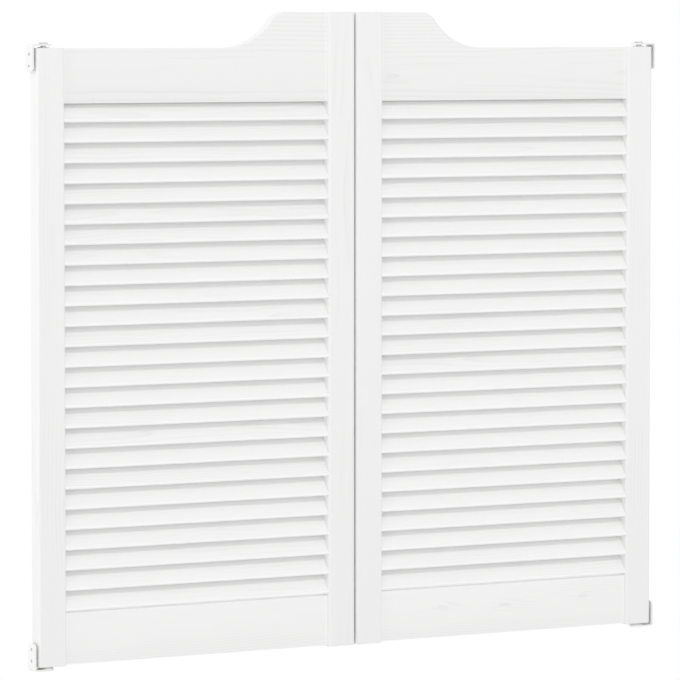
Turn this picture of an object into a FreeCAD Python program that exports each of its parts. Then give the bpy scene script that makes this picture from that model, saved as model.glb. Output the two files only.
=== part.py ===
"""Pair of louvred cafe doors that swing both ways on sprung pivots.

Millimetres.  X runs across the doorway, Y through it with the front at -Y, and Z is up.
The origin is midway between the jambs, in the middle of the doors' thickness, level with the
underside of the lowest brackets.  Everything is modelled for the left leaf and mirrored in X
for the right one.
"""
import FreeCAD, Part
import math
import os

from FreeCAD import Vector

# ------------------------------------------------------------------ driving dimensions: leaf
opening_width = 1012.0      # from jamb to jamb
jamb_gap = 6.0              # from a jamb to the edge of its leaf
meeting_gap = 3.0           # between the two leaves
leaf_height = 900.0         # at the meeting stile
shoulder_height = 50.0      # the meeting stile stands this much above the outer one

stile_width = 42.5
stile_depth = 25.0
arris_radius = 5.0          # round on the outer long edges of the stiles
inner_bevel = 3.0           # bevel on their inner long edges, where the slots run out
edge_bevel = 0.8            # bevel on the long edges of the rails

rail_depth = 16.0
bottom_rail_height = 71.5
bottom_rail_lift = 1.5      # above the feet of the stiles
top_rail_height = 75.5      # at its low end
top_rail_drop = 0.5         # below the tops of the stiles
top_rail_relief = 6.5       # bevel on its lower rear edge, which clears the top slat
hollow_radius = 91.0        # lower arc of the shoulder curve
crown_radius = 28.0         # upper arc of the shoulder curve
plateau_length = 66.5       # straight top edge from the shoulder curve to the meeting stile

slat_count = 25
slats_per_group = 5
slat_width = 32.0
slat_thickness = 6.0
slat_slope = 56.0           # degrees above the horizontal, rising towards the back
slat_lip_setback = 1.3      # front edges of the slats behind the front of the stiles
slat_first_drop = 25.85     # from the top rail down to the front edge of the top slat
slat_last_gap = 2.3         # from the front edge of the lowest slat down to the bottom rail
housing_depth = 7.0         # slots in the stiles that hold the slats
housing_end_gap = 0.5       # between the end of a slat and the bottom of its slot
housing_slack = 0.15        # beyond the two edges of a slat

tenon_thickness = 8.0       # on the ends of both rails
tenon_length = 14.0
tenon_shoulder = 10.0       # from the edges of the rail to the tenon
top_tenon_shoulder = 17.0   # at the upper edge of the top rail
mortise_end_gap = 0.5
mortise_slack = 0.2         # above and below a tenon

# ------------------------------------------------------------------ driving dimensions: pivots
pivot_from_edge = 16.0      # pivot axis from the outer edge of the leaf
bracket_thickness = 2.5
bracket_width = 22.0
bracket_leg = 38.0          # height of the leg against the jamb
bracket_bend = 1.5          # inner radius of the bend
bracket_corner = 4.0        # bevelled corners of the leg
screw_heights = (14.0, 30.0)                # above the outer face of the arm
screw_radius = 2.25
end_space = 3.0             # between the arm of a bracket and the end of the stile

pivot_radius = 4.0
running_clearance = 0.05
press_clearance = 0.02
head_bevel = 1.0

pin_head_radius = 6.5
pin_head_height = 2.0
pin_in_leaf = 18.0
top_bush_radius = 6.0
top_bush_depth = 22.0
bush_flange_radius = 8.0
bush_flange_thickness = 1.0

washer_thickness = 1.5
washer_radius = 10.0
barrel_radius = 8.0
barrel_wall = 1.2
barrel_depth = 46.0
barrel_bush_length = 10.0
spindle_tail_radius = 3.0
spindle_height = 44.0       # top of the spindle above the outer face of the arm
spring_wire = 1.6           # side of its square wire
spring_coil_radius = 5.4    # to the middle of the wire
spring_turns = 4
spring_runs = 10            # straight runs in each turn
spring_pitch = 6.0

# ------------------------------------------------------------------ modelling allowances
overcut = 1.0               # how far a cutting tool runs past the face it opens
same_place = 0.001          # coordinates closer than this are the same

# ------------------------------------------------------------------ worked-out places
leaf_width = (opening_width - 2 * jamb_gap - meeting_gap) / 2
clear_width = leaf_width - 2 * stile_width                  # between the stiles
outer_edge = -(opening_width / 2 - jamb_gap)                # left edge of the left leaf
outer_inside = outer_edge + stile_width
meeting_inside = outer_inside + clear_width
pivot_x = outer_edge + pivot_from_edge
pivot_from_jamb = pivot_from_edge + jamb_gap
foot = bracket_thickness + end_space                        # underside of the stiles
outer_height = leaf_height - shoulder_height
outer_top = foot + outer_height
top_bracket_z = outer_top + end_space + bracket_thickness   # upper face of the upper arms

top_rail_top = outer_top - top_rail_drop
top_rail_bottom = top_rail_top - top_rail_height
bottom_rail_bottom = foot + bottom_rail_lift
bottom_rail_top = bottom_rail_bottom + bottom_rail_height

slope = math.radians(slat_slope)
lip_centre = (slat_width - slat_thickness) / 2              # from the middle of a slat, along it
slat_y = -stile_depth / 2 + slat_lip_setback + slat_thickness / 2 + lip_centre * math.cos(slope)
lip_to_middle = slat_thickness / 2 + lip_centre * math.sin(slope)
first_slat_z = top_rail_bottom - slat_first_drop + lip_to_middle
last_slat_z = bottom_rail_top + slat_last_gap + lip_to_middle
slat_pitch = (first_slat_z - last_slat_z) / (slat_count - 1)

along_x = Vector(1, 0, 0)
along_y = Vector(0, 1, 0)
up = Vector(0, 0, 1)


# ------------------------------------------------------------------ shapes used more than once
def box(x, y, z):
    """A block between two limits along each axis."""
    size = [limits[1] - limits[0] for limits in (x, y, z)]
    return Part.makeBox(*size, Vector(x[0], y[0], z[0]))


def post(radius, bottom, top):
    """An upright cylinder on the pivot axis."""
    return Part.makeCylinder(radius, top - bottom, Vector(pivot_x, 0, bottom), up)


def ring(outer, inner, bottom, top):
    """An upright tube on the pivot axis."""
    return post(outer, bottom, top).cut(post(inner, bottom, top))


def edges_at(shape, test):
    """The edges of a shape whose bounding boxes pass a test."""
    return [edge for edge in shape.Edges if test(edge.BoundBox)]


def level(bounds, z):
    """Whether an edge lies flat at one height."""
    return abs(bounds.ZMin - z) < same_place and abs(bounds.ZMax - z) < same_place


def louvre_prism(x0, x1, middle_z, slack=0.0):
    """A sloping board from x0 to x1, or with slack at both edges the slot that houses it.

    Its front lip is rounded in three flats.
    """
    half = slat_thickness / 2
    flat = half * math.tan(math.pi / 8)
    end = slat_width / 2 + slack
    shoulder = end - half + flat
    outline = [
        (end, -half), (end, half), (-shoulder, half),
        (-end, flat), (-end, -flat), (-shoulder, -half),
    ]
    run = Vector(0, math.cos(slope), math.sin(slope))
    across = Vector(0, -math.sin(slope), math.cos(slope))
    middle = Vector(x0, slat_y, middle_z)
    corners = [middle + run * along + across * over for along, over in outline]
    section = Part.Face(Part.makePolygon(corners + corners[:1]))
    return section.extrude(along_x * (x1 - x0))


def slat_z(number):
    """Height of the middle of a slat, counted down from the top one."""
    return first_slat_z - number * slat_pitch


# ------------------------------------------------------------------ frame of the leaf
def tenons(kind, end_gap=0.0, slack=0.0):
    """The two rail tenons that enter a stile, or the tools that cut their mortises."""
    half = tenon_thickness / 2
    if kind == "outer":
        top = top_rail_top - top_tenon_shoulder
        x = (outer_inside - tenon_length - end_gap, outer_inside)
    else:
        top = top_rail_top + shoulder_height - top_tenon_shoulder
        x = (meeting_inside, meeting_inside + tenon_length + end_gap)
    lower = (bottom_rail_bottom + tenon_shoulder, bottom_rail_top - tenon_shoulder)
    upper = (top_rail_bottom + tenon_shoulder, top)
    return [box(x, (-half, half), (low - slack, high + slack)) for low, high in (lower, upper)]


def stile(kind):
    """An upright with eased long edges, slots for the slats and mortises for the rails."""
    x0 = outer_edge if kind == "outer" else meeting_inside
    inside_x = outer_inside if kind == "outer" else meeting_inside
    top = outer_top if kind == "outer" else foot + leaf_height
    half = stile_depth / 2

    def is_inner(bounds):
        return bounds.ZLength > leaf_height / 2 and abs(bounds.XMin - inside_x) < same_place

    def is_outer(bounds):
        return bounds.ZLength > leaf_height / 2 and abs(bounds.XMin - inside_x) > stile_width / 2

    blank = box((x0, x0 + stile_width), (-half, half), (foot, top))
    blank = blank.makeChamfer(inner_bevel, edges_at(blank, is_inner))
    blank = blank.makeFillet(arris_radius, edges_at(blank, is_outer))
    if kind == "outer":
        slot = (outer_inside - housing_depth, outer_inside + overcut)
    else:
        slot = (meeting_inside - overcut, meeting_inside + housing_depth)
    cuts = [louvre_prism(*slot, slat_z(i), housing_slack) for i in range(slat_count)]
    cuts += tenons(kind, mortise_end_gap, mortise_slack)
    if kind == "outer":
        barrel_bore = barrel_radius + press_clearance
        bush_bore = top_bush_radius + press_clearance
        cuts.append(post(barrel_bore, foot - overcut, foot + barrel_depth))
        cuts.append(post(bush_bore, outer_top - top_bush_depth, outer_top + overcut))
    return blank.cut(cuts)


def shoulder_outline():
    """Outline of the top rail: straight, up the S-shaped shoulder, then straight again."""
    low = top_rail_top
    high = top_rail_top + shoulder_height
    crown_x = meeting_inside - plateau_length
    radii = hollow_radius + crown_radius
    curve_width = math.sqrt(shoulder_height * (2 * radii - shoulder_height))
    hollow_centre = Vector(crown_x - curve_width, 0, low + hollow_radius)
    crown_centre = Vector(crown_x, 0, high - crown_radius)
    lean = math.atan2(crown_centre.z - hollow_centre.z, curve_width)

    def on_circle(centre, radius, angle):
        return centre + Vector(math.cos(angle), 0, math.sin(angle)) * radius

    down, top = -math.pi / 2, math.pi / 2
    foot_of_curve = on_circle(hollow_centre, hollow_radius, down)
    turn = on_circle(hollow_centre, hollow_radius, lean)
    crown = on_circle(crown_centre, crown_radius, top)
    hollow_middle = on_circle(hollow_centre, hollow_radius, (down + lean) / 2)
    crown_middle = on_circle(crown_centre, crown_radius, (lean + math.pi + top) / 2)
    corners = [
        crown,
        Vector(meeting_inside, 0, high),
        Vector(meeting_inside, 0, top_rail_bottom),
        Vector(outer_inside, 0, top_rail_bottom),
        Vector(outer_inside, 0, low),
        foot_of_curve,
    ]
    straight = [Part.LineSegment(a, b).toShape() for a, b in zip(corners, corners[1:])]
    hollow_arc = Part.Arc(foot_of_curve, hollow_middle, turn).toShape()
    crown_arc = Part.Arc(turn, crown_middle, crown).toShape()
    return Part.Wire(straight + [hollow_arc, crown_arc])


def eased(rail):
    """A rail with its long edges bevelled, front and back, but not at its two ends."""
    def is_long_edge(bounds):
        in_a_face = bounds.YLength < same_place and abs(abs(bounds.YMin) - rail_depth / 2) < same_place
        return in_a_face and bounds.XLength > same_place

    return rail.makeChamfer(edge_bevel, edges_at(rail, is_long_edge))


def top_rail():
    """The shaped rail, relieved behind its lower edge, with a tenon at each end."""
    outline = shoulder_outline()
    outline.translate(Vector(0, -rail_depth / 2, 0))
    rail = eased(Part.Face(outline).extrude(along_y * rail_depth))
    behind = rail_depth / 2 + overcut
    start = rail_depth / 2 - top_rail_relief
    corners = [
        Vector(outer_inside, start, top_rail_bottom),
        Vector(outer_inside, behind, top_rail_bottom + top_rail_relief + overcut),
        Vector(outer_inside, behind, top_rail_bottom),
    ]
    section = Part.Face(Part.makePolygon(corners + corners[:1]))
    relief = section.extrude(along_x * clear_width)
    return rail.cut(relief).fuse([tenons("outer")[1], tenons("meeting")[1]]).removeSplitter()


def bottom_rail():
    """The straight lower rail, with a tenon at each end."""
    half = rail_depth / 2
    rail = box((outer_inside, meeting_inside), (-half, half), (bottom_rail_bottom, bottom_rail_top))
    return eased(rail).fuse([tenons("outer")[0], tenons("meeting")[0]]).removeSplitter()


def slat_group(first):
    """Neighbouring slats, with their ends housed in the slots of both stiles."""
    housed = housing_depth - housing_end_gap
    x0, x1 = outer_inside - housed, meeting_inside + housed
    numbers = range(first, first + slats_per_group)
    return Part.makeCompound([louvre_prism(x0, x1, slat_z(i)) for i in numbers])


# ------------------------------------------------------------------ pivots
def bracket(hole_radius):
    """Bent plate: a round-ended arm at z 0 and a leg up the jamb with two screw holes."""
    half = bracket_width / 2
    jamb_x = pivot_x - pivot_from_jamb
    inside_x = jamb_x + bracket_thickness
    bend_outside = bracket_bend + bracket_thickness

    def bend_point(radius):
        offset = radius * math.cos(math.pi / 4)
        return Vector(jamb_x + bend_outside - offset, 0, bend_outside - offset)

    corners = [
        Vector(jamb_x, 0, bend_outside),
        Vector(jamb_x, 0, bracket_leg),
        Vector(inside_x, 0, bracket_leg),
        Vector(inside_x, 0, bend_outside),
        Vector(jamb_x + bend_outside, 0, bracket_thickness),
        Vector(pivot_x + half, 0, bracket_thickness),
        Vector(pivot_x + half, 0, 0),
        Vector(jamb_x + bend_outside, 0, 0),
    ]
    sides = [Part.LineSegment(a, b).toShape() for a, b in zip(corners, corners[1:])]
    sides[3] = Part.Arc(corners[3], bend_point(bracket_bend), corners[4]).toShape()
    sides.append(Part.Arc(corners[7], bend_point(bend_outside), corners[0]).toShape())
    section = Part.Face(Part.Wire(sides))
    section.translate(Vector(0, -half, 0))
    plate = section.extrude(along_y * bracket_width)
    plan = box((jamb_x, pivot_x), (-half, half), (0, bracket_leg)).fuse(post(half, 0, bracket_leg))
    plate = plate.common(plan)
    corner_edges = edges_at(plate, lambda b: level(b, bracket_leg) and b.YLength < same_place)
    plate = plate.makeChamfer(bracket_corner, corner_edges)
    cuts = [post(hole_radius, -overcut, bracket_thickness + overcut)]
    for height in screw_heights:
        start = Vector(jamb_x - overcut, 0, height)
        depth = bracket_thickness + 2 * overcut
        cuts.append(Part.makeCylinder(screw_radius, depth, start, along_x))
    return plate.cut(cuts)


def at_top(shape):
    """The same shape turned over, with its outer face at the upper arms."""
    turned = shape.mirror(Vector(0, 0, 0), up)
    turned.translate(up * top_bracket_z)
    return turned


def pivot_pin():
    """Headed pin dropped through the upper arm into the bush in the leaf."""
    tip = outer_top - pin_in_leaf
    shank = post(pivot_radius, tip, top_bracket_z)
    head_top = top_bracket_z + pin_head_height
    head = post(pin_head_radius, top_bracket_z, head_top)
    head = head.makeChamfer(head_bevel, edges_at(head, lambda b: level(b, head_top)))
    return shank.fuse(head).removeSplitter()


def top_bush():
    """Flanged plain bush in the top of the outer stile."""
    bottom = outer_top - top_bush_depth
    top = outer_top + bush_flange_thickness
    body = post(top_bush_radius, bottom, outer_top)
    flange = post(bush_flange_radius, outer_top, top)
    bore = post(pivot_radius + running_clearance, bottom - overcut, top + overcut)
    return body.fuse(flange).cut(bore).removeSplitter()


def thrust_washer():
    """Washer on the lower arm that carries the leaf."""
    bottom = bracket_thickness
    return ring(washer_radius, pivot_radius + running_clearance, bottom, bottom + washer_thickness)


def spring_barrel():
    """Cup pressed into the foot of the outer stile, whose rim stands on the thrust washer."""
    rim = bracket_thickness + washer_thickness
    top = foot + barrel_depth
    return post(barrel_radius, rim, top).cut(
        post(barrel_radius - barrel_wall, rim - overcut, top - barrel_wall))


def barrel_bush():
    """Plain bush in the mouth of the barrel."""
    rim = bracket_thickness + washer_thickness
    outer = barrel_radius - barrel_wall - press_clearance
    return ring(outer, pivot_radius + running_clearance, rim, rim + barrel_bush_length)


def spindle():
    """Post on the lower arm, with its tail riveted through the plate."""
    shaft = post(pivot_radius, bracket_thickness, spindle_height)
    return shaft.fuse(post(spindle_tail_radius, 0, bracket_thickness)).removeSplitter()


def closing_spring():
    """Coil of square wire round the spindle that turns the leaf back to closed."""
    half = spring_wire / 2
    seat = bracket_thickness + washer_thickness + barrel_bush_length + half
    inner, outer = spring_coil_radius - half, spring_coil_radius + half
    sections = []
    for step in range(spring_turns * spring_runs + 1):
        turns = step / spring_runs
        outward = Vector(math.cos(2 * math.pi * turns), math.sin(2 * math.pi * turns), 0)
        middle = Vector(pivot_x, 0, seat + spring_pitch * turns)
        corners = [middle + outward * radius + up * rise
                   for radius, rise in ((inner, -half), (outer, -half), (outer, half), (inner, half))]
        sections.append(Part.makePolygon(corners + corners[:1]))
    return Part.makeLoft(sections, True, True)


# ------------------------------------------------------------------ assembly
def mirrored(shape):
    """The same shape on the right leaf."""
    return shape.mirror(Vector(0, 0, 0), along_x)


leaf = {
    "outer_stile": stile("outer"),
    "meeting_stile": stile("meeting"),
    "top_rail": top_rail(),
    "bottom_rail": bottom_rail(),
    "pivot_bushes": Part.makeCompound([top_bush(), barrel_bush()]),
    "spring_barrel": spring_barrel(),
}
for group in range(slat_count // slats_per_group):
    leaf[f"slats_{group + 1}"] = slat_group(group * slats_per_group)

jamb_pairs = {
    "top_brackets": at_top(bracket(pivot_radius + running_clearance)),
    "bottom_brackets": bracket(spindle_tail_radius + press_clearance),
    "pivot_pins": pivot_pin(),
    "spindles": spindle(),
    "thrust_washers": thrust_washer(),
    "closing_springs": closing_spring(),
}

nodes = {}
for name, shape in leaf.items():
    nodes[f"left_{name}"] = shape
    nodes[f"right_{name}"] = mirrored(shape)
for name, shape in jamb_pairs.items():
    nodes[name] = Part.makeCompound([shape, mirrored(shape)])

os.makedirs("parts", exist_ok=True)
for name, shape in nodes.items():
    shape.exportStep(f"parts/{name}.step")
    print(f"{name}: {len(shape.Solids)} solid(s), {shape.Volume / 1000:.2f} cm3")
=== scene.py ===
# %% [markdown]
# # A pair of cafe doors
#
# Two short louvred doors hang between jambs and swing both ways. This lesson dresses the bare
# construction: it gives the timber its soft edges, its white paint and the pine grain that
# shows faintly through, and it sets up a plain white studio.
#
# The construction is loaded first, as a fixed frame. Every size below is read from it or is a
# named value in metres, so each finished piece lands exactly where its bare one is.

# %% Load the construction
import math

import bmesh
import bpy
from mathutils import Matrix, Vector


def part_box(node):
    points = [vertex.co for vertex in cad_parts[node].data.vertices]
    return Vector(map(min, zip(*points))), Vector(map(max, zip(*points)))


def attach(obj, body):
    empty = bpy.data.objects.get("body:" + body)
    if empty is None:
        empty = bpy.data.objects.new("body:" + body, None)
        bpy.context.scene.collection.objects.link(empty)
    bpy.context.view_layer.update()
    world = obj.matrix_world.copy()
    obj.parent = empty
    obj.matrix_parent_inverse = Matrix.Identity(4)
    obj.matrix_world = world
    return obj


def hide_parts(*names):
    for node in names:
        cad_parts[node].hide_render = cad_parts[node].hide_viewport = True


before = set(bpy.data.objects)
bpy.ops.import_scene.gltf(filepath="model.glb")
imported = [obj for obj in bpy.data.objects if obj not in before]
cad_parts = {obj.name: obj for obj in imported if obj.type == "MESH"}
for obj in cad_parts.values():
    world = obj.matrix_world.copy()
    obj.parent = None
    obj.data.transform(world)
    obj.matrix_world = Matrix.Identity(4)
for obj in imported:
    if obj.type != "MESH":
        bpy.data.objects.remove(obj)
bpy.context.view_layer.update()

mm = 0.001

# %% [markdown]
# ## The camera
#
# The doors are seen from the front and a little from the left, with a long lens, so that the
# slats converge only slightly. The eye is level with the shoulders of the top rails. Sliding
# the lens would keep uprights parallel, but tilting the camera a few degrees is simpler and
# keeps the doors centred from every other angle too.

# %% Place the camera
eye = Vector((-3.255, -5.736, 0.881))
turn_right = math.radians(29.43)
tilt_down = math.radians(3.825)
sensor_width = 36.0
lens_length = 246.1

look = Vector((
    math.sin(turn_right) * math.cos(tilt_down),
    math.cos(turn_right) * math.cos(tilt_down),
    -math.sin(tilt_down),
))
camera_data = bpy.data.cameras.new("studio_camera")
camera_data.lens = lens_length
camera_data.sensor_width = sensor_width
camera_data.clip_end = 100.0
camera = bpy.data.objects.new("studio_camera", camera_data)
camera.location = eye
camera.rotation_mode = "QUATERNION"
camera.rotation_quaternion = look.to_track_quat("-Z", "Y")
bpy.context.scene.collection.objects.link(camera)
bpy.context.scene.camera = camera
bpy.context.scene.view_settings.view_transform = "Standard"
print("the camera stands", round(-eye.y, 2), "m in front of the doors")

# %% [markdown]
# ## Writing shaders as sums
#
# A shader is a net of small nodes, and a net is hard to read as code. Two small classes help.
# `Term` wraps one socket and overloads the usual operators, so that `1 - mask * 0.5` adds the
# Math nodes by itself. `Shader` has one method that makes any other node from its type, its
# settings and the values or links of its sockets.

# %% Two helpers for shaders
class Term:
    """One value in a shader, which can be used in sums like a number."""

    def __init__(self, shader, socket):
        self.shader = shader
        self.socket = socket

    def math(self, operation, *values):
        return self.shader.node("Math", {"operation": operation}, dict(enumerate(values)))

    def __add__(self, other):
        return self.math("ADD", self, other)

    def __radd__(self, other):
        return self.math("ADD", other, self)

    def __sub__(self, other):
        return self.math("SUBTRACT", self, other)

    def __rsub__(self, other):
        return self.math("SUBTRACT", other, self)

    def __mul__(self, other):
        return self.math("MULTIPLY", self, other)

    def __rmul__(self, other):
        return self.math("MULTIPLY", other, self)

    def __pow__(self, other):
        return self.math("POWER", self, other)

    def __abs__(self):
        return self.math("ABSOLUTE", self)

    def maximum(self, other):
        return self.math("MAXIMUM", self, other)

    def fraction(self):
        return self.math("FRACT", self)

    def rounded(self):
        return self.math("ROUND", self)

    def ramp(self, zero_at, one_at):
        """A soft step from 0 at one value to 1 at another, which may be the lower one."""
        return self.shader.node(
            "MapRange", {"interpolation_type": "SMOOTHSTEP"},
            {"Value": self, "From Min": zero_at, "From Max": one_at})


class Shader:
    """The node net of a material or of the world."""

    def __init__(self, owner):
        owner.use_nodes = True
        self.net = owner.node_tree
        self.net.nodes.clear()

    def node(self, kind, settings=None, sockets=None, output=0):
        made = self.net.nodes.new("ShaderNode" + kind)
        for name, value in (settings or {}).items():
            setattr(made, name, value)
        for name, value in (sockets or {}).items():
            if isinstance(value, Term):
                self.net.links.new(value.socket, made.inputs[name])
            else:
                made.inputs[name].default_value = value
        return Term(self, made.outputs[output]) if len(made.outputs) else None


print("shader helpers ready")

# %% [markdown]
# ## A white studio
#
# White doors on white need care: the light has to be soft enough to keep the paint bright and
# still leave the gaps between the slats darker. A pale world lights everything evenly. A bright
# wall far to the left makes the faces that look that way the whitest of all, and a narrow part
# of it, a little to the front, reaches into the corners where a stile stands proud of a rail.
# To the camera, and in reflections, the same world is pure white, which the Light Path node
# tells apart from the rays that carry light to the doors.

# %% The world
surround_light = 0.85
walls = [
    # direction, what it adds there, and how narrow it is
    ((-0.866, 0.5, 0), 0.22, 2),
    ((-0.985, -0.17, 0), 0.67, 8),
]

world = bpy.data.worlds.new("white_studio")
bpy.context.scene.world = world
studio = Shader(world)
direction = studio.node("TexCoord", output="Generated")
lighting = surround_light
for wall_direction, wall_light, narrowness in walls:
    towards_wall = studio.node(
        "VectorMath", {"operation": "DOT_PRODUCT"}, {0: direction, 1: wall_direction}, output="Value")
    lighting = towards_wall.maximum(0) ** narrowness * wall_light + lighting
seen_by_camera = studio.node("LightPath", output="Is Camera Ray")
seen_in_gloss = studio.node("LightPath", output="Is Glossy Ray")
seen_through = studio.node("LightPath", output="Is Transmission Ray")
seen = seen_by_camera.maximum(seen_in_gloss).maximum(seen_through)
backdrop = studio.node(
    "Background", sockets={"Color": (1, 1, 1, 1), "Strength": lighting * (1 - seen) + seen})
studio.node("OutputWorld", sockets={"Surface": backdrop})
print("the world lights with", surround_light, "and more from", len(walls), "walls")

# %% [markdown]
# One lamp stands high in front of the doors. It puts the small shadow under the lip of each
# slat. A sun lamp that is ten times as wide as the sun has the soft edge of a lamp behind a
# screen, without any of the fall-off of a near lamp.

# %% The key light
key_strength = 0.47
key_height = math.radians(42.5)
key_spread = math.radians(5)

key_data = bpy.data.lights.new("key", "SUN")
key_data.energy = key_strength
key_data.angle = key_spread
key = bpy.data.objects.new("key", key_data)
towards_lamp = Vector((0, -math.cos(key_height), math.sin(key_height)))
key.rotation_mode = "QUATERNION"
key.rotation_quaternion = towards_lamp.to_track_quat("Z", "Y")
bpy.context.scene.collection.objects.link(key)
print("the key light has strength", key_strength)

# %% [markdown]
# The floor is a pale disc below the doors, which catches their shadow. Its edge fades away, so
# that there is no horizon line anywhere.

# %% The floor
floor_drop = 0.30
floor_radius = 1.5
floor_sides = 96
floor_fade_start = 0.6
floor_white = 0.82

disc = bmesh.new()
bmesh.ops.create_circle(disc, cap_ends=True, segments=floor_sides, radius=floor_radius)
bmesh.ops.translate(disc, verts=disc.verts, vec=(0, 0, -floor_drop))
floor_mesh = bpy.data.meshes.new("floor")
disc.to_mesh(floor_mesh)
disc.free()
floor = bpy.data.objects.new("floor", floor_mesh)
bpy.context.scene.collection.objects.link(floor)

floor_paint = bpy.data.materials.new("pale_floor")
floor_net = Shader(floor_paint)
spot = floor_net.node("TexCoord", output="Object")
flat_spot = floor_net.node("VectorMath", {"operation": "MULTIPLY"}, {0: spot, 1: (1, 1, 0)})
reach = floor_net.node("VectorMath", {"operation": "LENGTH"}, {0: flat_spot}, output="Value")
matt = floor_net.node("BsdfDiffuse", sockets={"Color": (floor_white, floor_white, floor_white, 1)})
clear = floor_net.node("BsdfTransparent")
faded = floor_net.node(
    "MixShader", sockets={0: reach.ramp(floor_fade_start, floor_radius), 1: matt, 2: clear})
floor_net.node("OutputMaterial", sockets={"Surface": faded})
floor_mesh.materials.append(floor_paint)
print("the floor lies", floor_drop, "m below the doors")

# %% [markdown]
# ## White paint on pine
#
# The doors are flat-sawn pine under a satin paint. Paint hides the colour of the wood but not
# its relief: the hard latewood of each growth ring stands a few hundredths of a millimetre
# proud, and the paint is a touch thinner there. Drawing lines by noise gives a cloudy look that
# wood never has, so this finish starts from the log.
#
# The heart of the log runs along the board, some way behind its face, and wanders a little. On
# every board, u is measured along the grain, v across it and w into it.

# %% The heart of a log
heart_turns = (3.1, 2.3)     # how often the heart turns in a metre, sideways and inwards
turns_apart = 7              # how far apart on the noise the two paths are read


def wander(distance, seed):
    """A slow random path, between about -0.5 and 0.5."""
    return distance.shader.node("TexNoise", {"noise_dimensions": "1D"}, {
        "W": distance + seed, "Scale": 1.0, "Detail": 2.0}) - 0.5


def heart_distance(u, v, w, heart, bend, seed):
    """How far a place is from the heart of its log.

    The heart is a distance across the board, one behind the middle of its thickness, and how
    much deeper it lies with every metre. Bend is how far it wanders, sideways and inwards.
    """
    across, behind, slant = heart
    sideways = v - across - wander(u * heart_turns[0], seed) * bend[0]
    inwards = w - behind - u * slant - wander((u + turns_apart) * heart_turns[1], seed) * bend[1]
    return (sideways * sideways + inwards * inwards) ** 0.5


print("a heart turns", heart_turns[0], "times in a metre")

# %% [markdown]
# A noise that is stretched along the board draws its short fibres. A slower one lets the grain
# come and go in patches, because sanding and paint cover it unevenly.

# %% Fibres and patches
fibres_in_metre = (9, 260)   # along and across the board
patches_in_metre = (5, 24)


def stretched_noise(u, v, w, in_metre, detail):
    """A noise that is drawn out along the grain, between about 0 and 1."""
    along, across = in_metre
    place = u.shader.node("CombineXYZ", sockets={0: u * along, 1: v * across, 2: w * across})
    return u.shader.node("TexNoise", sockets={"Vector": place, "Scale": 1.0, "Detail": detail})


print("fibres are", round(fibres_in_metre[1] / fibres_in_metre[0]), "times as long as they are wide")

# %% [markdown]
# A knot is the foot of a side branch, cut aslant. It pushes the rings aside, ends abruptly on
# the left and fades out to the right, and the grain round it is hard and shows more. A circle
# would look like a nail head, so the distance from its middle grows at one rate to the left, at
# a slower one to the right and at the full rate across.

# %% Knots
knot_taper = (0.2, 0.6)      # how fast the distance grows to the right and to the left
knot_reach = 2               # how far across the grain a knot bends the rings, in its radii
knot_bare = 0.25             # how much barer the grain is round it
knot_bare_reach = (2, 40)    # where that starts and ends to fade, in squared radii


def knot_at(u, v, knot):
    """How much of a knot is at a place, from 0 to 1, and how much barer the grain is there."""
    knot_u, knot_v, radius = knot
    right, left = knot_taper
    along = ((u - knot_u).maximum(0) * right + (knot_u - u).maximum(0) * left) * (1 / radius)
    across = (v - knot_v) * (1 / radius)
    apart = along * along + across * across
    return 1 - apart.ramp(0, knot_reach ** 2), (1 - apart.ramp(*knot_bare_reach)) * knot_bare


print("a knot bends the rings as far as", knot_reach, "radii from its middle")

# %% [markdown]
# The distance from the heart, divided by the thickness of a ring, counts the rings, and where
# its fraction nears one lies latewood. Cut flat, such rings draw fine lines near the edges of a
# board and wide, bent ones in the middle, as they do on real timber. A power makes the latewood
# start softly and end sharply, which is how a tree grows it through a summer.

# %% The grain
ring_waver = 0.25            # how far the fibres push a ring about, in rings
latewood_sharpness = 3.5     # how suddenly a ring darkens towards its outer side
latewood_end = 0.9           # where in a ring the latewood starts to end
knot_push = 1.3              # how far a knot pushes the rings out, in its radii
knot_core = (0.45, 0.95)     # between these, the knot itself turns dark


def pine_grain(u, v, w, bare, heart, ring, seed, bend=(20 * mm, 14 * mm), shown=(0.46, 0.72), knots=()):
    """The latewood, the fibres and the dark cores of the knots, each as a pattern.

    Ring is the thickness of a growth ring. The grain shows where the patches are above the
    first value of shown, and fully above the second. A knot is a place along and across and
    a radius.
    """
    distance = heart_distance(u, v, w, heart, bend, seed)
    cores = 0.0
    for knot in knots:
        presence, bareness = knot_at(u, v, knot)
        distance = distance + presence * (knot[-1] * knot_push)
        bare = bareness + bare
        cores = presence.ramp(*knot_core) + cores
    fibre = stretched_noise(u, v, w, fibres_in_metre, detail=3.0) - 0.5
    rings = (distance * (1 / ring) + fibre * ring_waver).fraction()
    patches = stretched_noise(u, v, w, patches_in_metre, detail=2.0) + bare
    latewood = rings ** latewood_sharpness * (1 - rings.ramp(latewood_end, 1)) * patches.ramp(*shown)
    return latewood, fibre, cores


print("latewood starts to end at", latewood_end, "of a ring")

# %% [markdown]
# The paint itself is one white. The grain only makes it a little darker, gives it a relief of
# a few hundredths of a millimetre, and lets its gloss change with the fibres. Painted light and
# shade then make it a little whiter or darker in places, so each kind of board brings a short
# function of its own, which says where.

# %% The paint
paint_white = 0.885
paint_blue = 0.997           # the blue part of the white against the red and green ones
paint_roughness = 0.42
fibre_roughness = 0.12       # how much the fibres change it
latewood_dip = 0.075         # how much darker the paint is over latewood, as a share
fibre_dip = 0.012
knot_dip = 0.050
grain_height = 0.06 * mm
grain_relief = 0.6           # how much of that height the light sees
fibre_height = 0.5           # the height of the fibres against that of latewood


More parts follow.
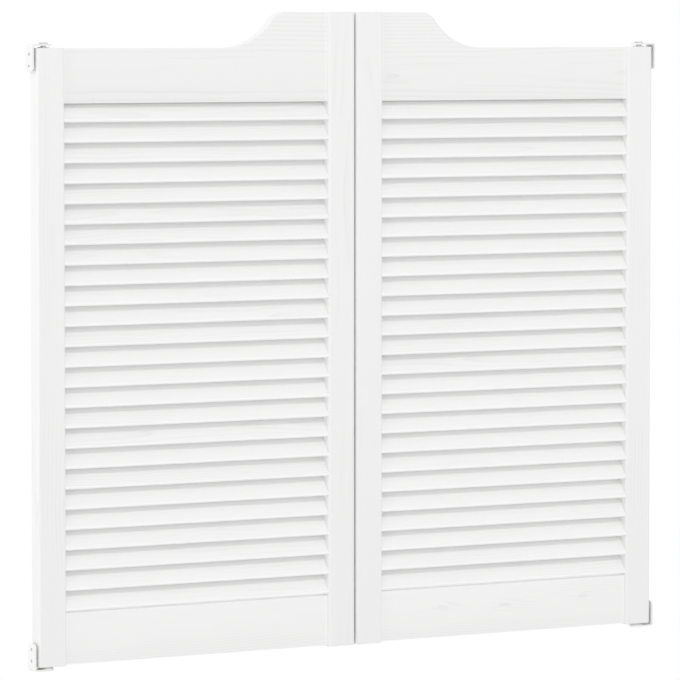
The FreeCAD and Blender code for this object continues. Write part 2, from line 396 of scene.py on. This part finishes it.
def painted_pine(name, axes, log_and_painted_light, **log):
    """White satin paint over flat-sawn pine.

    The axes say how the board lies: along the grain, across it and into it. The board's own
    function turns a place on the board into the place in its log, how much painted light it gets
    there (painted shade where that is below zero), and how much barer the grain. The log is what
    the grain is drawn from.
    """
    paint = bpy.data.materials.new(name)
    net = Shader(paint)
    place = net.node("TexCoord", output="Object")
    u, v, w = (
        net.node("VectorMath", {"operation": "DOT_PRODUCT"}, {0: place, 1: axis}, output="Value")
        for axis in axes
    )
    u, v, w, painted_light, bare = log_and_painted_light(u, v, w)
    latewood, fibre, cores = pine_grain(u, v, w, bare, **log)
    dip = latewood * latewood_dip + fibre * fibre_dip + cores * knot_dip
    # painted light and shade from the board's function make the white lighter or darker here
    white = (1 + painted_light - dip) * paint_white
    colour = net.node("CombineColor", sockets={"Red": white, "Green": white, "Blue": white * paint_blue})
    relief = net.node("Bump", sockets={
        "Strength": grain_relief, "Distance": grain_height, "Height": latewood + fibre * fibre_height})
    surface = net.node("BsdfPrincipled", sockets={
        "Base Color": colour,
        "Roughness": paint_roughness + fibre * fibre_roughness,
        "Normal": relief,
    })
    net.node("OutputMaterial", sockets={"Surface": surface})
    return paint


print("the paint reflects", paint_white, "of the light")

# %% [markdown]
# A stile is painted a little whiter with height, as painted light from above. The edges in the
# narrow gap between the leaves get painted light that lifts the shade of the gap, so they are the
# whitest.

# %% Stiles under the brush
even_height = 850 * mm       # where the painted light is neither added nor taken away
stile_painted_light_per_metre = 0.035      # painted light: how much whiter a stile gets with each metre of height
gap_painted_light = 0.07              # painted light: how much whiter the edges in the gap are, as a share
gap_edge = (3.0 * mm, 1.6 * mm)


def stile_log_and_painted_light(u, v, w):
    """A stile gets painted light that grows upwards, and the most of it in the gap."""
    in_gap = abs(v).ramp(*gap_edge) * gap_painted_light
    return u, v, w, (u - even_height) * stile_painted_light_per_metre + in_gap, 0.0


print("the edges in the gap are whiter by", gap_painted_light)

# %% [markdown]
# A rail is painted whiter towards its top, as painted light from above, with a painted highlight
# on its lower edge and painted light that lifts the shade in the corners beside the stiles, and
# sanding leaves the grain barer along its edges. The two kinds of rail differ only in their
# heights, so a function that is given them returns the one that the paint needs.

# %% Rails under the brush
rail_painted_light_per_metre = 0.45        # painted light: how much whiter a rail gets with each metre of height
lower_edge_painted_highlight = 0.05             # painted highlight: how much whiter its lower edge is
lower_edge_highlight_reach = (2.0 * mm, 0.8 * mm)
corner_painted_light = 0.045          # painted light that lifts the shade in the corners beside the stiles
corner_reach = 7 * mm
edge_bare = 0.28             # how much barer the grain is beside its long edges
lower_bare_edge = (26 * mm, 6 * mm)
upper_bare_edge = (16 * mm, 4 * mm)
rail_ends = (-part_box("left_meeting_stile")[0].x, -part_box("left_outer_stile")[1].x)


def rail_log_and_painted_light(lower, upper, even, upper_bare=0.0):
    """A rail between two heights: painted light growing upwards, a painted highlight below, and grain
    barer at its edges.

    The painted light is zero at the height even, and stays the same above the upper one.
    """
    def log_and_painted_light(u, v, w):
        # painted light, whiter towards the top of the rail
        painted_light = (upper - even - (upper - v).maximum(0)) * rail_painted_light_per_metre
        # painted highlight along the lower edge
        lower_edge_highlight = (v - lower).ramp(*lower_edge_highlight_reach) * lower_edge_painted_highlight
        from_inner_end = abs(u) - rail_ends[0]
        from_outer_end = rail_ends[1] - abs(u)
        # painted light in the corners beside the stiles
        corner = from_inner_end.ramp(corner_reach, 0) + from_outer_end.ramp(corner_reach, 0)
        lower_edge = (v - lower).ramp(*lower_bare_edge) * edge_bare
        upper_edge = (upper - v).ramp(*upper_bare_edge) * upper_bare
        return u, v, w, painted_light + lower_edge_highlight + corner * corner_painted_light, lower_edge + upper_edge
    return log_and_painted_light


print("rails run from", round(rail_ends[0], 3), "to", round(rail_ends[1], 3), "m beside the middle")

# %% [markdown]
# All stiles can share a log, because they are narrow and stand apart. The rails are broad and
# side by side, so each gets a log of its own: where its heart lies decides whether the rings
# draw straight lines or wide arches, and some logs have knots.

# %% Paints for stiles and rails
x_axis, y_axis, z_axis = (1, 0, 0), (0, 1, 0), (0, 0, 1)
upright = (z_axis, x_axis, y_axis)
level = (x_axis, z_axis, y_axis)
shoulder_height = 50 * mm    # from the low end of a top rail to its high one
lower_even_height = 43 * mm  # where the bottom rails get no painted light
straight = (8 * mm, 6 * mm)  # the bend of a straight log
covered = (0.48, 0.72)       # what shows of the grain under a good cover of paint

top_low, top_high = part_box("left_top_rail")
bottom_low, bottom_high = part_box("left_bottom_rail")
rail_kinds_log_and_painted_light = {
    "top": rail_log_and_painted_light(top_low.z, top_high.z - shoulder_height, even_height, edge_bare),
    "bottom": rail_log_and_painted_light(bottom_low.z, bottom_high.z, lower_even_height),
}
rail_logs = {
    "left_top": dict(
        seed=21, heart=(812 * mm, 40 * mm, 0.0), ring=5.2 * mm, bend=(8 * mm, 2 * mm), shown=covered),
    "right_top": dict(
        seed=22, heart=(818 * mm, 34 * mm, -0.015), ring=4.4 * mm, bend=straight, shown=covered,
        knots=[(58 * mm, 815 * mm, 2.2 * mm)]),
    "left_bottom": dict(
        seed=24, heart=(58 * mm, 30 * mm, 0.10), ring=3.6 * mm, bend=straight, shown=(0.44, 0.70)),
    "right_bottom": dict(
        seed=25, heart=(58 * mm, 26 * mm, -0.08), ring=3.6 * mm, bend=straight,
        knots=[
            (143 * mm, 50 * mm, 1.8 * mm),
            (246 * mm, 47 * mm, 2.6 * mm),
            (382 * mm, 52 * mm, 2.2 * mm),
        ]),
}
stile_paint = painted_pine(
    "painted_pine_stiles", upright, stile_log_and_painted_light, seed=19, heart=(12 * mm, 60 * mm, 0.02), ring=6 * mm)
rail_paints = {
    f"{rail}_rail": painted_pine(
        f"painted_pine_{rail}", level, rail_kinds_log_and_painted_light[rail.split("_")[1]], **log)
    for rail, log in rail_logs.items()
}
print(1 + len(rail_paints), "paints mixed for stiles and rails")

# %% [markdown]
# ## Metal and nylon
#
# The fittings are small, so their finishes are plain: a fine orange peel in the powder coat,
# tiny crystals in the zinc, a matt mottling in the nylon and a film of oil on the spring steel.
# One speckle that changes colour, gloss and surface together makes all four.

# %% Finishes of the fittings
gloss_change = 0.15          # how much the speckle changes the roughness
speckle_relief = 0.5         # how much of its height the light sees


def fitting_finish(name, colour, metallic, roughness, speckle_scale, speckle, relief_height):
    """A finish with a fine even speckle in its colour, its gloss and its surface."""
    finish = bpy.data.materials.new(name)
    net = Shader(finish)
    place = net.node("TexCoord", output="Object")
    speckles = net.node("TexNoise", sockets={"Vector": place, "Scale": speckle_scale, "Detail": 3.0})
    change = 1 + (speckles - 0.5) * speckle
    tint = net.node("CombineColor", sockets={
        "Red": change * colour[0], "Green": change * colour[1], "Blue": change * colour[2]})
    relief = net.node("Bump", sockets={
        "Strength": speckle_relief, "Distance": relief_height, "Height": speckles})
    surface = net.node("BsdfPrincipled", sockets={
        "Base Color": tint,
        "Metallic": metallic,
        "Roughness": roughness + (speckles - 0.5) * gloss_change,
        "Normal": relief,
    })
    net.node("OutputMaterial", sockets={"Surface": surface})
    return finish


powder_coat = fitting_finish(
    "white_powder_coat", colour=(0.88, 0.88, 0.875), metallic=0.0, roughness=0.38,
    speckle_scale=900, speckle=0.02, relief_height=0.04 * mm)
zinc = fitting_finish(
    "bright_zinc", colour=(0.66, 0.67, 0.69), metallic=1.0, roughness=0.32,
    speckle_scale=1400, speckle=0.18, relief_height=0.01 * mm)
nylon = fitting_finish(
    "natural_nylon", colour=(0.82, 0.81, 0.78), metallic=0.0, roughness=0.55,
    speckle_scale=700, speckle=0.04, relief_height=0.02 * mm)
spring_steel = fitting_finish(
    "oiled_spring_steel", colour=(0.35, 0.35, 0.36), metallic=1.0, roughness=0.38,
    speckle_scale=1200, speckle=0.15, relief_height=0.01 * mm)
print("four finishes for the fittings")

# %% [markdown]
# ## Finishing a piece
#
# Each board is drawn for the left leaf and turned over in X for the right one, which also turns
# its faces inside out, so the normals are worked out again. Smooth shading with weighted
# normals keeps the broad faces flat and lets the small rounds catch the light. The piece then
# rides on its leaf or on the jambs and takes the place of the bare one.

# %% One way to finish every piece
smooth_below = math.radians(40)
bodies = {"left": "left_leaf", "right": "right_leaf"}
sides = tuple(bodies)


def finish_piece(shape, node, finish):
    """Turns a bmesh into the finished piece that stands for one node of the construction."""
    bmesh.ops.recalc_face_normals(shape, faces=shape.faces)
    mesh = bpy.data.meshes.new(node + "_finished")
    shape.to_mesh(mesh)
    shape.free()
    mesh.shade_smooth()
    mesh.set_sharp_from_angle(angle=smooth_below)
    mesh.materials.append(finish)
    piece = bpy.data.objects.new(node + "_finished", mesh)
    bpy.context.scene.collection.objects.link(piece)
    even = piece.modifiers.new("even_faces", "WEIGHTED_NORMAL")
    even.keep_sharp = True
    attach(piece, bodies.get(node.split("_")[0], "jamb_fittings"))
    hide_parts(node)
    print(piece.name, "has", len(mesh.polygons), "faces")


def finish_board(shape, side, name, paint):
    """Finishes a board that was drawn on the left leaf, turned over in X for the right one."""
    if side == "right":
        bmesh.ops.scale(shape, verts=shape.verts, vec=(-1, 1, 1))
    finish_piece(shape, f"{side}_{name}", paint)


print("pieces ride on", ", ".join(bodies.values()), "or the jamb fittings")

# %% [markdown]
# Every board starts as a block, and its edges are rounded by a bevel. Which edges those are is
# told by the way they run, because their numbers change with every operation.

# %% Tools for boards
same_place = 0.01 * mm       # places closer than this are the same


def block(low, high):
    """A bmesh block between two corners."""
    shape = bmesh.new()
    bmesh.ops.create_cube(shape, size=1.0)
    bmesh.ops.scale(shape, verts=shape.verts, vec=high - low)
    bmesh.ops.translate(shape, verts=shape.verts, vec=(low + high) / 2)
    return shape


def soften(shape, edges, radius, steps):
    """Rounds some edges of a bmesh."""
    bmesh.ops.bevel(
        shape, geom=edges, offset=radius, segments=steps, profile=0.5,
        affect="EDGES", material=-1, clamp_overlap=True)


def way_along(edge, axis):
    """How far an edge runs along the axis x, y or z."""
    return abs(getattr(edge.verts[1].co - edge.verts[0].co, axis))


def is_parallel(edge, axis):
    """Whether an edge runs along an axis and no other way."""
    return edge.calc_length() - way_along(edge, axis) < same_place


print("board tools ready")

# %% [markdown]
# ## Slats
#
# Twenty-five thin boards fill each leaf, sloping so that nobody sees through but air passes.
# The construction groups them in fives. Their places could be listed, but one corner of each
# group is enough: its rear upper corner is that of its top slat, and the rest follow below it
# at an even pitch.

# %% Where the slats lie
slat_width = 32 * mm
slat_thickness = 6 * mm
slat_slope = math.radians(56)
slats_per_group = 5
groups = [f"slats_{number}" for number in range(1, 6)]

group_tops = [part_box(f"left_{group}")[1].z for group in groups]
slat_pitch = (group_tops[0] - group_tops[1]) / slats_per_group


def slat_middles(group):
    """The middles of a group's slats, from the rear upper corner of the group's box."""
    low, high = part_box(f"left_{group}")
    back = slat_width / 2 * math.cos(slat_slope) + slat_thickness / 2 * math.sin(slat_slope)
    rise = slat_width / 2 * math.sin(slat_slope) + slat_thickness / 2 * math.cos(slat_slope)
    top = Vector(((low.x + high.x) / 2, high.y - back, high.z - rise))
    return [top - Vector((0, 0, slat_pitch * i)) for i in range(slats_per_group)]


print("slats stand", round(slat_pitch / mm, 2), "mm apart")

# %% [markdown]
# A slat has a full round on its front edge and a barely eased rear one. It is easiest to draw
# lying flat, where its long edges are told apart by Y alone, and then to turn to its slope.
# The same function makes the slots, a little larger all round.

# %% One slat
lip_round = 0.49             # of the thickness: a hair under half, so that the two rounds fit
lip_steps = 7
rear_ease = 0.6 * mm
rear_steps = 2


def add_slat(shape, middle, length, spare=0.0):
    """Adds one sloping slat to a bmesh, or with spare the slightly larger slot for it."""
    size = Vector((length, slat_width + 2 * spare, slat_thickness + 2 * spare))
    slat = block(-size / 2, size / 2)
    front = [edge for edge in slat.edges if is_parallel(edge, "x") and edge.verts[0].co.y < 0]
    soften(slat, front, size.z * lip_round, lip_steps)
    rear_y = size.y / 2 - same_place
    rear = [edge for edge in slat.edges if is_parallel(edge, "x") and edge.verts[0].co.y > rear_y]
    soften(slat, rear, rear_ease, rear_steps)
    bmesh.ops.rotate(slat, verts=slat.verts, matrix=Matrix.Rotation(slat_slope, 3, "X"))
    bmesh.ops.translate(slat, verts=slat.verts, vec=middle)
    loose = bpy.data.meshes.new("one_slat")
    slat.to_mesh(loose)
    slat.free()
    shape.from_mesh(loose)
    bpy.data.meshes.remove(loose)


print("a lip is rounded in", 2 * lip_steps, "steps")

# %% [markdown]
# Fifty slats with one grain would look printed, and fifty materials would be a burden. So one
# material works out which slat a place is on, from its distance square to the slats, and takes
# two random numbers for it. They choose where in the log that slat was sawn, and how bare its
# grain is. The round lip gets a painted highlight, and the face deep under the next slat gets a
# painted shade.

# %% Paint for the slats
slat_run = (0, math.cos(slat_slope), math.sin(slat_slope))
slat_out = (0, -math.sin(slat_slope), math.cos(slat_slope))
first_slat = slat_middles(groups[0])[0]
first_run = first_slat.dot(Vector(slat_run))
first_out = first_slat.dot(Vector(slat_out))
step_run = slat_pitch * math.sin(slat_slope)
step_out = slat_pitch * math.cos(slat_slope)

right_numbers = 40           # what is added to the numbers of the right leaf's slats
other_draw = 0.5             # what is added for a slat's second random number
log_length = 9               # the part of the log that the slats are sawn from, in metres
log_width = 50 * mm
log_depth = 16 * mm
lip_painted_highlight = 0.100             # painted highlight: how much whiter the lip is, as a share
lip_edge = (2.8 * mm, 1.0 * mm)
under_slat_painted_shade = 0.09             # painted shade: how much darker the face is deep under the next slat
under_slat_shade_edge = (8 * mm, 13 * mm)
slat_bare = 0.40             # how much the slats differ in the grain that they show
bare_middle = 0.6            # the random number of a slat whose grain is as bare as the log's


def slat_log_and_painted_light(u, v, w):
    """Each slat comes from its own place in the log, and its lip gets a painted highlight.

    The slats are numbered down from the top one, number 0, which has only the rail above it
    and so half of the painted shade.
    """
    net = u.shader
    number = ((first_out - w) * (1 / step_out)).rounded()
    drawn = number + u.ramp(-1 * mm, 1 * mm) * right_numbers
    chance = net.node("TexWhiteNoise", {"noise_dimensions": "1D"}, {"W": drawn})
    other_chance = net.node("TexWhiteNoise", {"noise_dimensions": "1D"}, {"W": drawn + other_draw})
    own_v = v - first_run + number * step_run
    own_w = w - first_out + number * step_out
    # painted highlight on the lip, and painted shade deep under the next slat
    on_lip = (own_v + slat_width / 2).ramp(*lip_edge)
    under_next = own_v.ramp(*under_slat_shade_edge) * number.ramp(-0.5, 0.5)
    return (
        u + chance * log_length + number,
        own_v + (chance - 0.5) * log_width,
        own_w + (other_chance - 0.5) * log_depth,
        on_lip * lip_painted_highlight - under_next * under_slat_painted_shade,
        (other_chance - bare_middle) * slat_bare,
    )


slat_paint = painted_pine(
    "painted_pine_slats", (x_axis, slat_run, slat_out), slat_log_and_painted_light,
    seed=18, heart=(0.0, 30 * mm, 0.0), ring=3.5 * mm, shown=(0.40, 0.66))
print("one paint for", 2 * len(groups) * slats_per_group, "slats")

# %% [markdown]
# With place, shape and paint settled, the slats of a group are drawn into one mesh, because the
# construction holds them as one piece.

# %% The slats
for side in sides:
    for group in groups:
        low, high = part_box(f"left_{group}")
        slats = bmesh.new()
        for middle in slat_middles(group):
            add_slat(slats, middle, high.x - low.x)
        finish_board(slats, side, group, slat_paint)

# %% [markdown]
# ## Stiles
#
# A stile is a plain bar that holds the ends of the slats in sloping slots. They could be drawn
# into its faces, but a joiner cuts them after the edges are rounded, so that they run out
# through the round. A Boolean with one cutter that holds all the slots does the same in one go.

# %% Slots
slot_depth = 7.0 * mm
slot_spare = 0.12 * mm
overcut = 1 * mm             # how far the cutter stands out of the stile


def linked(shape, name):
    """A bmesh as an object in the scene, with its faces pointing outwards."""
    bmesh.ops.recalc_face_normals(shape, faces=shape.faces)
    mesh = bpy.data.meshes.new(name)
    shape.to_mesh(mesh)
    shape.free()
    made = bpy.data.objects.new(name, mesh)
    bpy.context.scene.collection.objects.link(made)
    return made


def slot_cutter(low_x, high_x):
    """One object that holds the slots for every slat of the left leaf."""
    shape = bmesh.new()
    for group in groups:
        for middle in slat_middles(group):
            place = Vector(((low_x + high_x) / 2, middle.y, middle.z))
            add_slat(shape, place, high_x - low_x, slot_spare)
    return linked(shape, "slot_cutter")


def cut_out(shape, cutter):
    """The bmesh with a cutter object taken away from it."""
    bar = linked(shape, "uncut")
    cut = bar.modifiers.new("slots", "BOOLEAN")
    cut.operation = "DIFFERENCE"
    cut.solver = "EXACT"
    cut.object = cutter
    graph = bpy.context.evaluated_depsgraph_get()
    result = bmesh.new()
    result.from_mesh(bar.evaluated_get(graph).to_mesh())
    bpy.data.objects.remove(bar)
    bpy.data.objects.remove(cutter)
    return result


print("slots are", round(slot_depth / mm), "mm deep")

# %% [markdown]
# The long edges of a stile are well rounded, as a hand plane leaves them, and its ends are
# nearly sharp, as a saw leaves them. The slots open to the inner side, which is to the right on
# the outer stile and to the left on the meeting stile.

# %% The stiles
arris_radius = 4.0 * mm
arris_steps = 6
end_ease = 1.2 * mm
end_steps = 2


def make_stile(side, name):
    """One stile, drawn where the left leaf has it."""
    low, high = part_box(f"left_{name}")
    bar = block(low, high)
    soften(bar, [edge for edge in bar.edges if is_parallel(edge, "z")], arris_radius, arris_steps)
    rims = [edge for edge in bar.edges if way_along(edge, "z") < same_place]
    soften(bar, rims, end_ease, end_steps)
    if name == "outer_stile":
        cutter = slot_cutter(high.x - slot_depth, high.x + overcut)
    else:
        cutter = slot_cutter(low.x - overcut, low.x + slot_depth)
    finish_board(cut_out(bar, cutter), side, name, stile_paint)


for side in sides:
    for name in ("outer_stile", "meeting_stile"):
        make_stile(side, name)

# %% [markdown]
# ## Rails
#
# The bottom rail is a straight board between the stiles. In the construction its box also holds
# the tenons, which nobody sees, so its length is taken from the stiles instead.

# %% The bottom rails
rail_ease = 0.8 * mm
rail_steps = 3


def between_stiles(name):
    """The corners of a rail of the left leaf, without its tenons."""
    low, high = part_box(f"left_{name}")
    low.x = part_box("left_outer_stile")[1].x
    high.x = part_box("left_meeting_stile")[0].x
    return low, high


for side in sides:
    board = block(*between_stiles("bottom_rail"))
    soften(board, [edge for edge in board.edges if is_parallel(edge, "x")], rail_ease, rail_steps)
    finish_board(board, side, "bottom_rail", rail_paints[f"{side}_bottom_rail"])

# %% [markdown]
# The top rail has the shape that makes the doors: from the low stile it runs straight, swings
# up through a wide hollow, turns over a tighter crown and runs level to the tall stile. A free
# curve through a few points would do, but a maker sets it out with compasses. The two arcs
# touch where their centres and the turning point are in line, so a vertex spun round one centre
# and then round the other draws the curve.

# %% The outline of a top rail
hollow_radius = 91 * mm
crown_radius = 28 * mm
plateau_length = 66.5 * mm
curve_steps = 16


def shoulder_face(low, high):
    """The outline of the left top rail between two corners, as one face at its front."""
    step = high.z - shoulder_height
    crown_x = high.x - plateau_length
    radii = hollow_radius + crown_radius
    run = math.sqrt(shoulder_height * (2 * radii - shoulder_height))
    sweep = math.acos(1 - shoulder_height / radii)
    hollow_centre = Vector((crown_x - run, low.y, step + hollow_radius))
    crown_centre = Vector((crown_x, low.y, high.z - crown_radius))

    face = bmesh.new()
    foot = face.verts.new((hollow_centre.x, low.y, step))
    tip = foot
    for centre, axis in ((hollow_centre, (0, -1, 0)), (crown_centre, (0, 1, 0))):
        spun = bmesh.ops.spin(face, geom=[tip], cent=centre, axis=axis, angle=sweep, steps=curve_steps)
        tip = next(part for part in spun["geom_last"] if isinstance(part, bmesh.types.BMVert))
    corners = [
        face.verts.new((x, low.y, z))
        for x, z in ((high.x, high.z), (high.x, low.z), (low.x, low.z), (low.x, step))
    ]
    chain = [tip, *corners, foot]
    for first, second in zip(chain, chain[1:]):
        face.edges.new((first, second))
    bmesh.ops.contextual_create(face, geom=face.edges)
    return face


print("the shoulder rises", round(shoulder_height / mm), "mm")

# %% [markdown]
# The face is pulled to the thickness of the board and its edges are eased. Its lower rear edge
# is planed off aslant, so that the top slat fits behind it, which takes one cut with a plane
# and a fill of the hole that the cut leaves.

# %% The top rails
rear_relief = 6.5 * mm


def make_top_rail(side):
    """The shaped rail, drawn on the left leaf."""
    low, high = between_stiles("top_rail")
    board = shoulder_face(low, high)
    pulled = bmesh.ops.extrude_face_region(board, geom=board.faces)
    moved = [part for part in pulled["geom"] if isinstance(part, bmesh.types.BMVert)]
    bmesh.ops.translate(board, verts=moved, vec=(0, high.y - low.y, 0))
    long_edges = [
        edge for edge in board.edges
        if way_along(edge, "y") < same_place and not is_parallel(edge, "z")
    ]
    soften(board, long_edges, rail_ease, rail_steps)
    relief_edge = (low.x, high.y - rear_relief, low.z)
    parts = board.verts[:] + board.edges[:] + board.faces[:]
    bmesh.ops.bisect_plane(
        board, geom=parts, plane_co=relief_edge, plane_no=(0, 1, -1), clear_outer=True)
    bmesh.ops.holes_fill(board, edges=[edge for edge in board.edges if edge.is_boundary])
    finish_board(board, side, "top_rail", rail_paints[f"{side}_top_rail"])


for side in sides:
    make_top_rail(side)

# %% [markdown]
# ## Fittings
#
# The brackets, pins and bushes already have their true shape. What they lack is the small
# softness of pressed and turned edges, which is what shows that a thing is metal. The
# construction comes as loose triangles, so a copy of each node is merged, its flat faces are
# joined up again, and every crisp edge is rounded a little: pressed steel most, because it is
# dipped in powder, and turned and moulded pieces least.

# %% The fittings
crisp_angle = math.radians(35)
flat_angle = math.radians(0.5)
weld_distance = 0.002 * mm
fitting_steps = 2
fitting_finishes = {
    # slot, finish and how far its edges are eased
    "top_brackets": ("bracket_paint", powder_coat, 0.5 * mm),
    "bottom_brackets": ("bracket_paint", powder_coat, 0.5 * mm),
    "pivot_pins": ("zinc_steel", zinc, 0.25 * mm),
    "spindles": ("zinc_steel", zinc, 0.25 * mm),
    "thrust_washers": ("nylon", nylon, 0.2 * mm),
    "left_pivot_bushes": ("nylon", nylon, 0.15 * mm),
    "right_pivot_bushes": ("nylon", nylon, 0.15 * mm),
    "left_spring_barrel": ("zinc_steel", zinc, 0.2 * mm),
    "right_spring_barrel": ("zinc_steel", zinc, 0.2 * mm),
}
for name, (slot_name, finish, ease) in fitting_finishes.items():
    bare_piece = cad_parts[name]
    copy = bmesh.new()
    copy.from_mesh(bare_piece.data)
    bmesh.ops.transform(copy, matrix=bare_piece.matrix_world, verts=copy.verts)
    bmesh.ops.remove_doubles(copy, verts=copy.verts, dist=weld_distance)
    bmesh.ops.dissolve_limit(copy, angle_limit=flat_angle, verts=copy.verts, edges=copy.edges)
    crisp = [edge for edge in copy.edges if edge.calc_face_angle(0) > crisp_angle]
    soften(copy, crisp, ease, fitting_steps)
    finish_piece(copy, name, finish)

# %% [markdown]
# ## Closing springs
#
# Round each spindle, hidden in the barrel, lies the spring that closes the leaf: square wire
# wound on a mandrel, its corners broken by the rolls that made it. The construction has it in
# straight runs. A curve with a bevel could follow the helix, but spinning the wire's section
# with a small step up each time gives the pitch exactly and keeps the section upright.

# %% The closing springs
spring_wire = 1.6 * mm
wire_ease = 0.3 * mm
wire_ease_steps = 2
coil_radius = 5.4 * mm       # to the middle of the wire
coil_pitch = 6.0 * mm
coil_turns = 4
steps_in_turn = 36

springs = bmesh.new()
bmesh.ops.create_grid(springs, x_segments=1, y_segments=1, size=spring_wire / 2)
bmesh.ops.bevel(
    springs, geom=springs.verts, offset=wire_ease, segments=wire_ease_steps, profile=0.5,
    affect="VERTICES", material=-1)
bmesh.ops.rotate(springs, verts=springs.verts, matrix=Matrix.Rotation(math.radians(90), 3, "X"))

spring_box_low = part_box("closing_springs")[0]
centre_x = spring_box_low.x + coil_radius + spring_wire / 2
wire_end = (centre_x + coil_radius, 0, spring_box_low.z + spring_wire / 2)
bmesh.ops.translate(springs, verts=springs.verts, vec=wire_end)
bmesh.ops.spin(
    springs, geom=springs.faces, cent=(centre_x, 0, 0), axis=(0, 0, 1),
    angle=math.tau * coil_turns, steps=steps_in_turn * coil_turns,
    dvec=(0, 0, coil_pitch / steps_in_turn))
left_spring = springs.verts[:] + springs.edges[:] + springs.faces[:]
bmesh.ops.mirror(springs, geom=left_spring, axis="X", merge_dist=weld_distance)
finish_piece(springs, "closing_springs", spring_steel)
